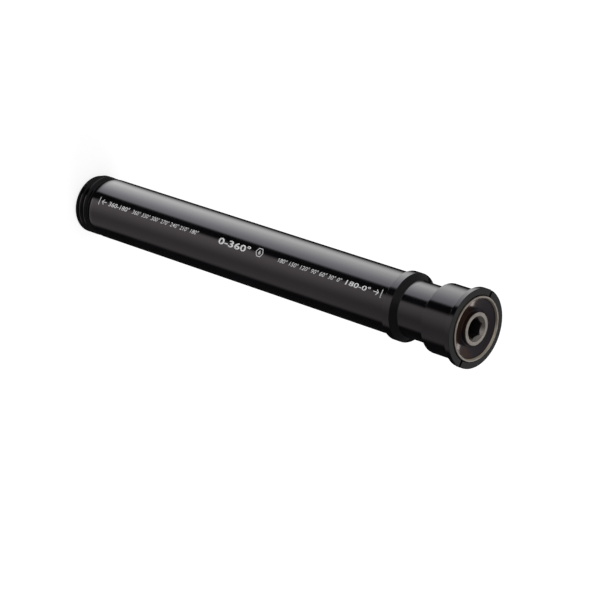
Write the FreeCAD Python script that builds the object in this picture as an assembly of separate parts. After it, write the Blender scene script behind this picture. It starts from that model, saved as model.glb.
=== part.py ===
import FreeCAD, Part
import math
import os

# A bicycle thru axle with an expanding split head, standing on its threaded end.
# Lengths are millimetres. The axle runs along Z, and z = 0 is the face of the threaded end.
# A hexagon key in the threaded end turns a draw rod that clicks as it turns and pulls a wedge
# into the split head. A hexagon key in the wedge turns the whole axle in its thread.

Vec = FreeCAD.Vector
CENTRE = Vec(0, 0, 0)
UP = Vec(0, 0, 1)
ACROSS = Vec(1, 0, 0)
FULL_TURN = 360.0

# Outside of the axle body, from the threaded end up
THREAD_DIA = 20.0
THREAD_PITCH = 2.0
THREAD_LENGTH = 6.9
THREAD_END_CHAMFER = 1.2
UNDERCUT_DIA = 17.2
UNDERCUT_LENGTH = 1.3
TUBE_DIA = 20.0
TUBE_LENGTH = 132.2
TUBE_END_CHAMFER = 0.25
COLLAR_DIA = 22.0
COLLAR_LENGTH = 3.1
COLLAR_BEVEL = 0.3
COLLAR_CONE_LENGTH = 1.7
NECK_DIA = 18.0
NECK_LENGTH = 11.1
HEAD_DIA = 22.0
HEAD_LENGTH = 10.4
HEAD_CHAMFER = 0.2
FLANGE_DIA = 25.0
FLANGE_THICKNESS = 1.8
FLANGE_CHAMFER = 0.12
SLIT_WIDTH = 0.9
SLIT_LENGTH = 22.8

# Inside of the axle body
BORE_DIA = 15.0
POCKET_DIA = 15.0
POCKET_CHAMFER = 0.4
WEB_THICKNESS = 2.7
WEB_HOLE_GAP = 0.2

# Expanding wedge
LIP_DIA = 20.4
LIP_HEIGHT = 1.0
LIP_WIDTH = 0.55
LIP_CHAMFER = 0.12
LIP_INNER_CHAMFER = 0.3
LIP_PROUD = 0.4
LIP_GAP = 0.25
TAPER_HALF_ANGLE = 12.0
TAPER_GAP = 0.03
WEDGE_TRAVEL = 1.0
GUIDE_GAP = 0.08
GUIDE_LENGTH = 9.3
GUIDE_CHAMFER = 0.4
DISH_DEPTH = 1.9
DISH_DRAFT = 0.1
DISH_CONE_WIDTH = 1.6
DISH_CONE_HEIGHT = 1.2
BOSS_DIA = 10.4
BOSS_BELOW_LIP = 0.05
BOSS_CHAMFER = 0.15
BOSS_FOOT = 0.8
KEY_SIZE = 6.0
WEDGE_SOCKET_DEPTH = 7.0
WEDGE_SOCKET_TURN = 15.0
COUNTERSINK_DIA = 8.1
COUNTERSINK_DEPTH = 1.1

# Keys that stop the wedge turning in the head
DRIVE_KEY_THICKNESS = 0.8
DRIVE_KEY_HEIGHT = 6.0
DRIVE_KEY_FROM_TAIL = 2.5
DRIVE_KEY_SEAT_DEPTH = 1.8
DRIVE_KEY_INSET = 0.15

# Draw rod
ROD_SHANK_DIA = 7.0
ROD_THREAD_DIA = 8.0
ROD_THREAD_LENGTH = 14.0
ROD_THREAD_GAP = 0.05
ROD_THREAD_CHAMFER = 0.5
ROD_END_ROOM = 0.2
ROD_END_DEPTH = 11.5
ROD_HEAD_GAP = 0.15
ROD_HEAD_LENGTH = 6.6
ROD_SOCKET_DEPTH = 5.7
ROD_HEAD_CHAMFER = 0.3
ROD_SHOULDER_DIA = 12.9
ROD_SHOULDER_LENGTH = 4.8
ROD_FACE_GAP = 0.05

# Retaining ring in the threaded end
CLIP_INSET = 1.6
CLIP_THICKNESS = 1.0
CLIP_SIDE_GAP = 0.05
CLIP_GROOVE_DEPTH = 0.35
CLIP_RIM_GAP = 0.05
CLIP_WIDTH = 1.1
CLIP_MOUTH = 2.6
CLIP_EAR_DIA = 2.8
CLIP_EAR_HOLE_DIA = 1.3
CLIP_TO_ROD = 0.2

# Seal on the draw rod's head
SEAL_SECTION = 1.3
SEAL_GAP = 0.05
SEAL_INSET = 1.8
SEAL_SIDES = 12

# Washer and click mechanism around the draw rod's shoulder
WASHER_THICKNESS = 1.0
WASHER_GAP = 0.2
CLICK_RING_HEIGHT = 3.75
CLICK_RING_GAP = 0.02
CLICK_LAND_GAP = 0.15
CLICK_NOTCHES = 16
BALL_DIA = 2.5
BALL_HOLE_GAP = 0.05
BALL_LAND_GAP = 0.05
BALL_TRAVEL = 0.3
NOTCH_GAP = 0.1
SPRING_COIL_DIA = 2.2
SPRING_WIRE_DIA = 0.4
SPRING_TURNS = 6
WIRE_SIDES = 6

# Shares of the pitch that set a metric thread's form
THREAD_DEPTH_SHARE = 0.5413
THREAD_ROOT_SHARE = 0.25
THREAD_FLANK_ANGLE = 30.0
CUTTER_MARGIN_SHARE = 0.05
DRILL_POINT_HALF_ANGLE = 59.0

# Heights of the axle body's steps
TUBE_BOTTOM = THREAD_LENGTH + UNDERCUT_LENGTH
COLLAR_BOTTOM = TUBE_BOTTOM + TUBE_LENGTH
COLLAR_TOP = COLLAR_BOTTOM + COLLAR_LENGTH
NECK_BOTTOM = COLLAR_TOP + COLLAR_CONE_LENGTH
HEAD_BOTTOM = NECK_BOTTOM + NECK_LENGTH
FLANGE_BOTTOM = HEAD_BOTTOM + HEAD_LENGTH
FLANGE_TOP = FLANGE_BOTTOM + FLANGE_THICKNESS

# Heights of what is stacked in the threaded end
CLIP_BOTTOM = CLIP_INSET + CLIP_SIDE_GAP
CLIP_GROOVE_TOP = CLIP_BOTTOM + CLIP_THICKNESS + CLIP_SIDE_GAP
ROD_BOTTOM = CLIP_GROOVE_TOP + CLIP_TO_ROD
SHOULDER_BOTTOM = ROD_BOTTOM + ROD_HEAD_LENGTH
SHOULDER_TOP = SHOULDER_BOTTOM + ROD_SHOULDER_LENGTH
WASHER_BOTTOM = SHOULDER_TOP + ROD_FACE_GAP
WEB_BOTTOM = WASHER_BOTTOM + WASHER_THICKNESS
WEB_TOP = WEB_BOTTOM + WEB_THICKNESS
CLICK_RING_BOTTOM = WASHER_BOTTOM - CLICK_RING_HEIGHT
BALL_HEIGHT = CLICK_RING_BOTTOM + CLICK_RING_HEIGHT / 2

# Radii that seat one piece on another
POCKET_RADIUS = POCKET_DIA / 2
BORE_RADIUS = BORE_DIA / 2
WEB_HOLE_RADIUS = ROD_THREAD_DIA / 2 + WEB_HOLE_GAP
ROD_HEAD_RADIUS = POCKET_RADIUS - ROD_HEAD_GAP
SHOULDER_RADIUS = ROD_SHOULDER_DIA / 2
CLIP_GROOVE_RADIUS = POCKET_RADIUS + CLIP_GROOVE_DEPTH
CLIP_RADIUS = CLIP_GROOVE_RADIUS - CLIP_RIM_GAP
SEAL_OUTER_RADIUS = POCKET_RADIUS - SEAL_GAP
SEAL_GROOVE_RADIUS = SEAL_OUTER_RADIUS - SEAL_SECTION - SEAL_GAP
CLICK_LAND_RADIUS = SHOULDER_RADIUS + CLICK_LAND_GAP
BALL_RADIUS = BALL_DIA / 2
BALL_REACH = CLICK_LAND_RADIUS - BALL_LAND_GAP - BALL_RADIUS
LIP_RADIUS = LIP_DIA / 2
MOUTH_RADIUS = LIP_RADIUS + LIP_GAP
GUIDE_RADIUS = BORE_RADIUS - GUIDE_GAP
TAPER = math.tan(math.radians(TAPER_HALF_ANGLE))

# Heights of the wedge, drawn with its lip standing out of the flange
LIP_TOP = FLANGE_TOP + LIP_PROUD
LIP_BOTTOM = LIP_TOP - LIP_HEIGHT
GUIDE_TOP = LIP_BOTTOM - (LIP_RADIUS - GUIDE_RADIUS) / TAPER
GUIDE_BOTTOM = GUIDE_TOP - GUIDE_LENGTH
BOSS_TOP = LIP_TOP - BOSS_BELOW_LIP
DISH_FLOOR = LIP_TOP - DISH_DEPTH
DRIVE_KEY_BOTTOM = GUIDE_BOTTOM + DRIVE_KEY_FROM_TAIL
DRIVE_KEY_ROOT = GUIDE_RADIUS - DRIVE_KEY_SEAT_DEPTH
ROD_TOP = GUIDE_BOTTOM + ROD_END_DEPTH
ROD_BORE_RADIUS = ROD_THREAD_DIA / 2 + ROD_THREAD_GAP
ROD_BORE_TOP = ROD_TOP + WEDGE_TRAVEL + ROD_END_ROOM

# The head's taper clears the wedge when the wedge is drawn fully in
HEAD_TAPER_TOP = LIP_BOTTOM - WEDGE_TRAVEL + (LIP_GAP - TAPER_GAP) / TAPER
HEAD_TAPER_BOTTOM = HEAD_TAPER_TOP - (MOUTH_RADIUS - BORE_RADIUS) / TAPER


def save(node, shape):
    """Write one piece to its own file."""
    shape.exportStep("parts/" + node + ".step")


def lathe(corners):
    """Turn an outline of (radius, height) corners about the axle's axis."""
    points = [Vec(radius, 0, height) for radius, height in corners]
    return Part.Face(Part.makePolygon(points + points[:1])).revolve(CENTRE, UP, FULL_TURN)


def polygon(radius, sides, turn):
    """Corners (u, v) of a regular polygon, the first at the angle turn."""
    angles = [math.radians(turn + FULL_TURN * side / sides) for side in range(sides)]
    return [(radius * math.cos(angle), radius * math.sin(angle)) for angle in angles]


def hexagon_socket(bottom, depth, turn):
    """Hexagon prism that cuts a key socket, with one corner at the angle turn."""
    corner_radius = KEY_SIZE / 2 / math.cos(math.pi / 6)
    ring = [Vec(x, y, bottom) for x, y in polygon(corner_radius, 6, turn)]
    return Part.Face(Part.makePolygon(ring + ring[:1])).extrude(UP * depth)


def thread_groove():
    """Helical V groove of the axle's thread, from below its end up to the undercut."""
    crest = THREAD_DIA / 2
    root = crest - THREAD_DEPTH_SHARE * THREAD_PITCH
    outer = crest + CUTTER_MARGIN_SHARE * THREAD_PITCH
    root_half = THREAD_ROOT_SHARE * THREAD_PITCH / 2
    outer_half = root_half + (outer - root) * math.tan(math.radians(THREAD_FLANK_ANGLE))
    height = THREAD_PITCH + TUBE_BOTTOM - outer_half
    section = [
        Vec(root, 0, -root_half), Vec(outer, 0, -outer_half),
        Vec(outer, 0, outer_half), Vec(root, 0, root_half),
    ]
    path = Part.Wire(Part.makeHelix(THREAD_PITCH, height, root))
    groove = path.makePipeShell([Part.makePolygon(section + section[:1])], True, True)
    groove.translate(UP * -THREAD_PITCH)
    return groove


def axle_body():
    """The turned axle: thread, tube, collar, neck, split head and flange in one piece."""
    outside = [
        (POCKET_RADIUS + POCKET_CHAMFER, 0),
        (THREAD_DIA / 2 - THREAD_END_CHAMFER, 0),
        (THREAD_DIA / 2, THREAD_END_CHAMFER),
        (THREAD_DIA / 2, THREAD_LENGTH),
        (UNDERCUT_DIA / 2, THREAD_LENGTH),
        (UNDERCUT_DIA / 2, TUBE_BOTTOM),
        (TUBE_DIA / 2 - TUBE_END_CHAMFER, TUBE_BOTTOM),
        (TUBE_DIA / 2, TUBE_BOTTOM + TUBE_END_CHAMFER),
        (TUBE_DIA / 2, COLLAR_BOTTOM),
        (COLLAR_DIA / 2, COLLAR_BOTTOM + COLLAR_BEVEL),
        (COLLAR_DIA / 2, COLLAR_TOP),
        (NECK_DIA / 2, NECK_BOTTOM),
        (NECK_DIA / 2, HEAD_BOTTOM),
        (HEAD_DIA / 2 - HEAD_CHAMFER, HEAD_BOTTOM),
        (HEAD_DIA / 2, HEAD_BOTTOM + HEAD_CHAMFER),
        (HEAD_DIA / 2, FLANGE_BOTTOM),
        (FLANGE_DIA / 2 - FLANGE_CHAMFER, FLANGE_BOTTOM),
        (FLANGE_DIA / 2, FLANGE_BOTTOM + FLANGE_CHAMFER),
        (FLANGE_DIA / 2, FLANGE_TOP - FLANGE_CHAMFER),
        (FLANGE_DIA / 2 - FLANGE_CHAMFER, FLANGE_TOP),
    ]
    inside = [
        (MOUTH_RADIUS, FLANGE_TOP),
        (MOUTH_RADIUS, HEAD_TAPER_TOP),
        (BORE_RADIUS, HEAD_TAPER_BOTTOM),
        (BORE_RADIUS, WEB_TOP),
        (WEB_HOLE_RADIUS, WEB_TOP),
        (WEB_HOLE_RADIUS, WEB_BOTTOM),
        (POCKET_RADIUS, WEB_BOTTOM),
        (POCKET_RADIUS, CLIP_GROOVE_TOP),
        (CLIP_GROOVE_RADIUS, CLIP_GROOVE_TOP),
        (CLIP_GROOVE_RADIUS, CLIP_INSET),
        (POCKET_RADIUS, CLIP_INSET),
        (POCKET_RADIUS, POCKET_CHAMFER),
    ]
    slit = Part.makeBox(
        FLANGE_DIA, SLIT_WIDTH, SLIT_LENGTH,
        Vec(-FLANGE_DIA / 2, -SLIT_WIDTH / 2, FLANGE_TOP - SLIT_LENGTH),
    )
    return lathe(outside + inside).cut(thread_groove()).cut(slit)


def drive_key(side):
    """Flat key in the wedge's side that slides in one slit; side is 1 or -1."""
    reach = NECK_DIA / 2 - DRIVE_KEY_INSET - DRIVE_KEY_ROOT
    start = DRIVE_KEY_ROOT if side > 0 else -DRIVE_KEY_ROOT - reach
    return Part.makeBox(
        reach, DRIVE_KEY_THICKNESS, DRIVE_KEY_HEIGHT,
        Vec(start, -DRIVE_KEY_THICKNESS / 2, DRIVE_KEY_BOTTOM),
    )


def expander_wedge():
    """Tapered wedge with a dished face, a hexagon boss and the draw rod's threaded bore."""
    drill_point = ROD_BORE_RADIUS / math.tan(math.radians(DRILL_POINT_HALF_ANGLE))
    lip_inner = LIP_RADIUS - LIP_WIDTH
    dish_radius = lip_inner - LIP_INNER_CHAMFER
    wedge = lathe([
        (ROD_BORE_RADIUS, GUIDE_BOTTOM),
        (GUIDE_RADIUS - GUIDE_CHAMFER, GUIDE_BOTTOM),
        (GUIDE_RADIUS, GUIDE_BOTTOM + GUIDE_CHAMFER),
        (GUIDE_RADIUS, GUIDE_TOP),
        (LIP_RADIUS, LIP_BOTTOM),
        (LIP_RADIUS, LIP_TOP - LIP_CHAMFER),
        (LIP_RADIUS - LIP_CHAMFER, LIP_TOP),
        (lip_inner, LIP_TOP),
        (dish_radius, LIP_TOP - LIP_INNER_CHAMFER),
        (dish_radius - DISH_DRAFT, DISH_FLOOR + DISH_CONE_HEIGHT),
        (dish_radius - DISH_CONE_WIDTH, DISH_FLOOR),
        (BOSS_DIA / 2 + BOSS_FOOT, DISH_FLOOR),
        (BOSS_DIA / 2, DISH_FLOOR + BOSS_FOOT),
        (BOSS_DIA / 2, BOSS_TOP - BOSS_CHAMFER),
        (BOSS_DIA / 2 - BOSS_CHAMFER, BOSS_TOP),
        (0, BOSS_TOP),
        (0, ROD_BORE_TOP + drill_point),
        (ROD_BORE_RADIUS, ROD_BORE_TOP),
    ])
    socket = hexagon_socket(BOSS_TOP - WEDGE_SOCKET_DEPTH, WEDGE_SOCKET_DEPTH, WEDGE_SOCKET_TURN)
    countersink = Part.makeCone(
        COUNTERSINK_DIA / 2 - COUNTERSINK_DEPTH, COUNTERSINK_DIA / 2, COUNTERSINK_DEPTH,
        Vec(0, 0, BOSS_TOP - COUNTERSINK_DEPTH), UP,
    )
    return wedge.cut(socket.fuse(countersink)).cut(drive_key(1)).cut(drive_key(-1))


def draw_rod():
    """Long rod with a threaded top, a stepped head and a hexagon socket in the head."""
    seal_bottom = ROD_BOTTOM + SEAL_INSET
    seal_top = seal_bottom + SEAL_SECTION + 2 * SEAL_GAP
    thread_bottom = ROD_TOP - ROD_THREAD_LENGTH
    rod = lathe([
        (0, ROD_BOTTOM),
        (ROD_HEAD_RADIUS - ROD_HEAD_CHAMFER, ROD_BOTTOM),
        (ROD_HEAD_RADIUS, ROD_BOTTOM + ROD_HEAD_CHAMFER),
        (ROD_HEAD_RADIUS, seal_bottom),
        (SEAL_GROOVE_RADIUS, seal_bottom),
        (SEAL_GROOVE_RADIUS, seal_top),
        (ROD_HEAD_RADIUS, seal_top),
        (ROD_HEAD_RADIUS, SHOULDER_BOTTOM),
        (SHOULDER_RADIUS, SHOULDER_BOTTOM),
        (SHOULDER_RADIUS, SHOULDER_TOP),
        (ROD_SHANK_DIA / 2, SHOULDER_TOP),
        (ROD_SHANK_DIA / 2, thread_bottom),
        (ROD_THREAD_DIA / 2, thread_bottom),
        (ROD_THREAD_DIA / 2, ROD_TOP - ROD_THREAD_CHAMFER),
        (ROD_THREAD_DIA / 2 - ROD_THREAD_CHAMFER, ROD_TOP),
        (0, ROD_TOP),
    ])
    ball_hole = Part.makeCylinder(
        BALL_RADIUS + BALL_HOLE_GAP, ROD_SHOULDER_DIA,
        Vec(-SHOULDER_RADIUS, 0, BALL_HEIGHT), ACROSS,
    )
    return rod.cut(hexagon_socket(ROD_BOTTOM, ROD_SOCKET_DEPTH, 0)).cut(ball_hole)


def washer(outer, inner, bottom, thickness):
    """Flat ring about the axle's axis."""
    return lathe([
        (inner, bottom), (outer, bottom), (outer, bottom + thickness), (inner, bottom + thickness),
    ])


def thrust_washer():
    """Washer between the draw rod's shoulder and the web that it pulls on."""
    return washer(POCKET_RADIUS - WASHER_GAP, WEB_HOLE_RADIUS, WASHER_BOTTOM, WASHER_THICKNESS)


def click_ring():
    """Fixed ring with a row of notches that the balls snap into."""
    ring = washer(
        POCKET_RADIUS - CLICK_RING_GAP, CLICK_LAND_RADIUS, CLICK_RING_BOTTOM, CLICK_RING_HEIGHT,
    )
    notches = []
    for step in range(CLICK_NOTCHES):
        notch = Part.makeCylinder(
            BALL_RADIUS + NOTCH_GAP, CLICK_RING_HEIGHT,
            Vec(BALL_REACH + BALL_TRAVEL, 0, CLICK_RING_BOTTOM), UP,
        )
        notch.rotate(CENTRE, UP, FULL_TURN * step / CLICK_NOTCHES)
        notches.append(notch)
    return ring.cut(notches)


def click_ball(side):
    """Ball at one end of the draw rod's cross hole; side is 1 or -1."""
    return Part.makeSphere(BALL_RADIUS, Vec(side * BALL_REACH, 0, BALL_HEIGHT))


def click_spring():
    """Coil spring in the cross hole that pushes the two balls apart."""
    coil_radius = (SPRING_COIL_DIA - SPRING_WIRE_DIA) / 2
    length = 2 * (BALL_REACH - BALL_RADIUS) - SPRING_WIRE_DIA
    path = Part.Wire(Part.makeHelix(length / SPRING_TURNS, length, coil_radius))
    wire = [Vec(coil_radius + u, 0, v) for u, v in polygon(SPRING_WIRE_DIA / 2, WIRE_SIDES, 0)]
    spring = path.makePipeShell([Part.makePolygon(wire + wire[:1])], True, True)
    spring.translate(UP * (-length / 2))
    spring.rotate(CENTRE, Vec(0, 1, 0), 90)
    spring.translate(UP * BALL_HEIGHT)
    return spring


def rod_seal():
    """Rubber ring in the groove of the draw rod's head."""
    middle_radius = SEAL_OUTER_RADIUS - SEAL_SECTION / 2
    height = ROD_BOTTOM + SEAL_INSET + SEAL_GAP + SEAL_SECTION / 2
    section = polygon(SEAL_SECTION / 2, SEAL_SIDES, 0)
    return lathe([(middle_radius + u, height + v) for u, v in section])


def retaining_ring():
    """Spring ring with two eared ends that holds the draw rod in the threaded end."""
    ear_radius = CLIP_EAR_DIA / 2
    inner = CLIP_RADIUS - CLIP_WIDTH
    ear_offset = CLIP_MOUTH / 2 + ear_radius
    ear_reach = math.sqrt((CLIP_RADIUS - ear_radius) ** 2 - ear_offset ** 2)
    ring = washer(CLIP_RADIUS, inner, CLIP_BOTTOM, CLIP_THICKNESS)
    holes = []
    for side in (1, -1):
        middle = Vec(side * ear_offset, ear_reach, CLIP_BOTTOM)
        ring = ring.fuse(Part.makeCylinder(ear_radius, CLIP_THICKNESS, middle, UP))
        holes.append(Part.makeCylinder(CLIP_EAR_HOLE_DIA / 2, CLIP_THICKNESS, middle, UP))
    mouth = Part.makeBox(
        CLIP_MOUTH, CLIP_RADIUS, CLIP_THICKNESS, Vec(-CLIP_MOUTH / 2, 0, CLIP_BOTTOM),
    )
    return ring.cut(holes + [mouth]).removeSplitter()


def main():
    """Build every piece and write it out."""
    os.makedirs("parts", exist_ok=True)
    save("axle_body", axle_body())
    save("expander_wedge", expander_wedge())
    save("drive_key_a", drive_key(1))
    save("drive_key_b", drive_key(-1))
    save("draw_rod", draw_rod())
    save("thrust_washer", thrust_washer())
    save("click_ring", click_ring())
    save("click_ball_a", click_ball(1))
    save("click_ball_b", click_ball(-1))
    save("click_spring", click_spring())
    save("rod_seal", rod_seal())
    save("retaining_ring", retaining_ring())


main()
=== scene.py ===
import logging
import math
from abc import ABC, abstractmethod
from dataclasses import dataclass, field
from enum import Enum
from typing import Any, Sequence

import bpy
from mathutils import Matrix, Vector


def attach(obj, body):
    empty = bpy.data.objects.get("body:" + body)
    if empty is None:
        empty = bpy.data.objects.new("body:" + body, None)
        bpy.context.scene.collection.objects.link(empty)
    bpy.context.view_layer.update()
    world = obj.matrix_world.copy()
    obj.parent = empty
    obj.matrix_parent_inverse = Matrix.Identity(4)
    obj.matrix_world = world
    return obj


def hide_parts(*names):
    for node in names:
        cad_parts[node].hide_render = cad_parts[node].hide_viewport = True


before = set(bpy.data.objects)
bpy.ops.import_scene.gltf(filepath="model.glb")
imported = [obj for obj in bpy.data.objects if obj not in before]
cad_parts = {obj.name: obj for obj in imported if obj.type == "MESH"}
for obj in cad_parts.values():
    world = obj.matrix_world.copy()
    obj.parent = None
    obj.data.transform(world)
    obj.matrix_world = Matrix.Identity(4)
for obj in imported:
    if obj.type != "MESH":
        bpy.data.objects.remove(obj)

# A bicycle thru axle with an expanding split head, standing on its threaded end. The axle's axis is
# Z. Sizes of pieces are in millimetres, and those of finishes and of the studio are in metres,
# apart from those whose notes say otherwise.

log = logging.getLogger("thru_axle")

Colour = tuple[float, float, float]
Span = tuple[float, float]

MM = 0.001
SEGMENTS = 192  # faces round a turned piece
MERGE_DISTANCE = 1e-7  # metres
SMOOTH_ANGLE = math.radians(32)
CUTTER_REACH = 1.0  # how far a cutter stands out past what it cuts


class Body(Enum):
    """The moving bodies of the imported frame."""

    AXLE = "axle"
    ROD = "rod"
    WEDGE = "wedge"
    BALL_A = "ball_a"
    BALL_B = "ball_b"


class Slot(Enum):
    """The record's material slots."""

    ANODISED_BODY = "anodised_body"
    WEDGE_METAL = "wedge_metal"
    SPRING_STEEL = "spring_steel"
    ROD_STEEL = "rod_steel"
    WASHER_BRONZE = "washer_bronze"
    RING_STEEL = "ring_steel"
    SEAL_RUBBER = "seal_rubber"


# Shader maths

@dataclass
class Value:
    """A node socket that Python expressions can work on."""

    shader: "Shader"
    socket: bpy.types.NodeSocket

    def math(self, operation: str, *others: Any, clamp: bool = False) -> "Value":
        """Add a Math node.

        Args:
            operation: the Math node's operation.
            others: further operands, numbers or values.
            clamp: whether the result is held between 0 and 1.

        Returns:
            The node's result.
        """
        settings = {"operation": operation, "use_clamp": clamp}
        return self.shader.node("ShaderNodeMath", settings, dict(enumerate((self, *others))))

    def __add__(self, other: Any) -> "Value":
        """Sum."""
        return self.math("ADD", other)

    __radd__ = __add__

    def __sub__(self, other: Any) -> "Value":
        """Difference."""
        return self.math("SUBTRACT", other)

    def __rsub__(self, other: float) -> "Value":
        """Difference from a number."""
        return (self * -1.0) + other

    def __mul__(self, other: Any) -> "Value":
        """Product."""
        return self.math("MULTIPLY", other)

    __rmul__ = __mul__

    def __truediv__(self, other: Any) -> "Value":
        """Quotient."""
        return self.math("DIVIDE", other)

    def __rtruediv__(self, other: float) -> "Value":
        """Quotient of a number."""
        return self.shader.node("ShaderNodeMath", {"operation": "DIVIDE"}, {0: other, 1: self})

    def ramp(self, low: float, high: float) -> "Value":
        """Rise smoothly from 0 to 1 between two values.

        Args:
            low: the value at which the result is 0.
            high: the value at which the result is 1.

        Returns:
            The eased share.
        """
        settings = {"interpolation_type": "SMOOTHSTEP"}
        inputs = {"Value": self, "From Min": low, "From Max": high}
        return self.shader.node("ShaderNodeMapRange", settings, inputs)


class Shader:
    """A node tree that is being wired, of a material or of the world."""

    def __init__(self, tree: bpy.types.NodeTree) -> None:
        """Start on an empty tree."""
        self.tree = tree
        tree.nodes.clear()

    def add(self, kind: str, settings: dict[str, Any], inputs: dict[Any, Any]) -> bpy.types.Node:
        """Add a node and wire it.

        Args:
            kind: the node's type.
            settings: the node's own properties, set first.
            inputs: numbers, colours or values for its sockets, by name or place.

        Returns:
            The node.
        """
        node = self.tree.nodes.new(kind)
        for name, setting in settings.items():
            setattr(node, name, setting)
        for key, given in inputs.items():
            if isinstance(given, Value):
                self.tree.links.new(given.socket, node.inputs[key])
            elif isinstance(given, bpy.types.NodeSocket):
                self.tree.links.new(given, node.inputs[key])
            else:
                node.inputs[key].default_value = given
        return node

    def node(self, kind: str, settings: dict[str, Any], inputs: dict[Any, Any]) -> Value:
        """Add a node as add does and return its first output."""
        return Value(self, self.add(kind, settings, inputs).outputs[0])

    def coordinates(self, kind: str) -> bpy.types.NodeSocket:
        """Read the Texture Coordinate node's vector of one kind."""
        return self.add("ShaderNodeTexCoord", {}, {}).outputs[kind]

    def split(self, vector: bpy.types.NodeSocket) -> list[Value]:
        """Split a vector into x, y and z."""
        parts = self.add("ShaderNodeSeparateXYZ", {}, {0: vector})
        return [Value(self, output) for output in parts.outputs]

    def position(self) -> tuple[Value, Value, Value, Value]:
        """Read where a point of the surface is.

        Returns:
            x, y, z and the distance from the axle's axis, in metres.
        """
        x, y, z = self.split(self.coordinates("Object"))
        return x, y, z, (x * x + y * y).math("SQRT")

    def noise(self, across: float, along: float | None = None, detail: float = 2.0) -> Value:
        """Noise whose grains have the given sizes.

        Args:
            across: grain size across the axle's axis, in metres.
            along: grain size along the axis, the same as across where none is given.
            detail: how many finer layers are added.

        Returns:
            A value about 0.5.
        """
        scale = (1.0 / across, 1.0 / across, 1.0 / (along or across))
        mapping = self.add(
            "ShaderNodeMapping", {"vector_type": "POINT"},
            {"Vector": self.coordinates("Object"), "Scale": scale},
        )
        return self.node(
            "ShaderNodeTexNoise", {}, {"Vector": mapping.outputs[0], "Scale": 1.0, "Detail": detail},
        )

    def mix(self, share: Any, first: Any, second: Any) -> bpy.types.NodeSocket:
        """Blend two colours.

        Args:
            share: how much of the second colour shows.
            first: RGBA colour or socket.
            second: RGBA colour or socket.

        Returns:
            The blended colour.
        """
        node = self.add("ShaderNodeMix", {"data_type": "RGBA"}, {0: share, 6: first, 7: second})
        return node.outputs[2]

    def bump(self, height: Value, depth: float) -> bpy.types.NodeSocket:
        """Bump the surface by a height between 0 and 1 times a depth in metres."""
        inputs = {"Height": height, "Distance": depth, "Strength": 1.0}
        return self.add("ShaderNodeBump", {}, inputs).outputs[0]

    def close(self, surface: bpy.types.NodeSocket, output: str = "ShaderNodeOutputMaterial") -> None:
        """Wire the finished surface to the output."""
        self.add(output, {}, {"Surface": surface})


def rgba(red: float, green: float, blue: float) -> tuple[float, float, float, float]:
    """Opaque linear colour."""
    return (red, green, blue, 1.0)


def new_material(name: str) -> tuple[bpy.types.Material, Shader]:
    """Add an empty material.

    Args:
        name: the material's name.

    Returns:
        The material and the shader that wires it.
    """
    material = bpy.data.materials.new(name)
    material.use_nodes = True
    return material, Shader(material.node_tree)


# Finishes

@dataclass(frozen=True)
class Finish(ABC):
    """A finish that one Principled BSDF shows."""

    name: str

    @abstractmethod
    def sockets(self, shader: Shader) -> dict[str, Any]:
        """Wire what the finish varies.

        Args:
            shader: the material that is being wired.

        Returns:
            What each of the BSDF's sockets gets, by name.
        """

    def material(self) -> bpy.types.Material:
        """Make the finish's material.

        Returns:
            The material.
        """
        material, shader = new_material(self.name)
        surface = shader.add("ShaderNodeBsdfPrincipled", {}, self.sockets(shader))
        shader.close(surface.outputs[0])
        return material


def lathe_rings(shader: Shader, pitch: float, slope: float = 0.7, wobble: float = 3 * MM) -> Value:
    """Fine rings that the lathe leaves about the axle's axis.

    Args:
        shader: the finish that is being wired.
        pitch: distance from ring to ring, in metres.
        slope: how fast the rings follow along the axis, as a share of across it.
        wobble: size of the patches in which the rings stray.

    Returns:
        A height between 0 and 1.
    """
    _, _, z, radius = shader.position()
    stray = shader.noise(wobble) * pitch
    phase = (radius + z * slope + stray) * (2 * math.pi / pitch)
    return phase.math("SINE") * 0.5 + 0.5


@dataclass(frozen=True)
class GlossAnodise(Finish):
    """Black anodised aluminium, turned before it was dyed."""

    name: str = "gloss_black_anodise"
    colour: Colour = (0.0024, 0.0024, 0.0030)
    paler: float = 1.5
    cloud_size: Span = (9 * MM, 14 * MM)
    cloud_edge: Span = (0.3, 0.7)
    cloud_roughness: float = 0.05
    grain_size: float = 0.12 * MM
    grain_roughness: float = 0.03
    roughness: float = 0.12
    refraction: float = 1.5
    tool_mark: float = 0.05 * MM
    tool_mark_length: float = 1.0
    tool_depth: float = 0.0004 * MM

    def sockets(self, shader: Shader) -> dict[str, Any]:
        """Wire what the finish varies.

        Args:
            shader: the material that is being wired.

        Returns:
            What each of the BSDF's sockets gets, by name.
        """
        rings = shader.noise(self.tool_mark_length, self.tool_mark, detail=1.0)
        clouds = shader.noise(*self.cloud_size, detail=3.0)
        grain = shader.noise(self.grain_size, detail=1.0)
        pale = rgba(*(self.paler * part for part in self.colour))
        sheen = (clouds - 0.5) * self.cloud_roughness + (grain - 0.5) * self.grain_roughness
        return {
            "Base Color": shader.mix(clouds.ramp(*self.cloud_edge), rgba(*self.colour), pale),
            "Roughness": sheen + self.roughness,
            "IOR": self.refraction,
            "Normal": shader.bump(rings, self.tool_depth),
        }


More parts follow.
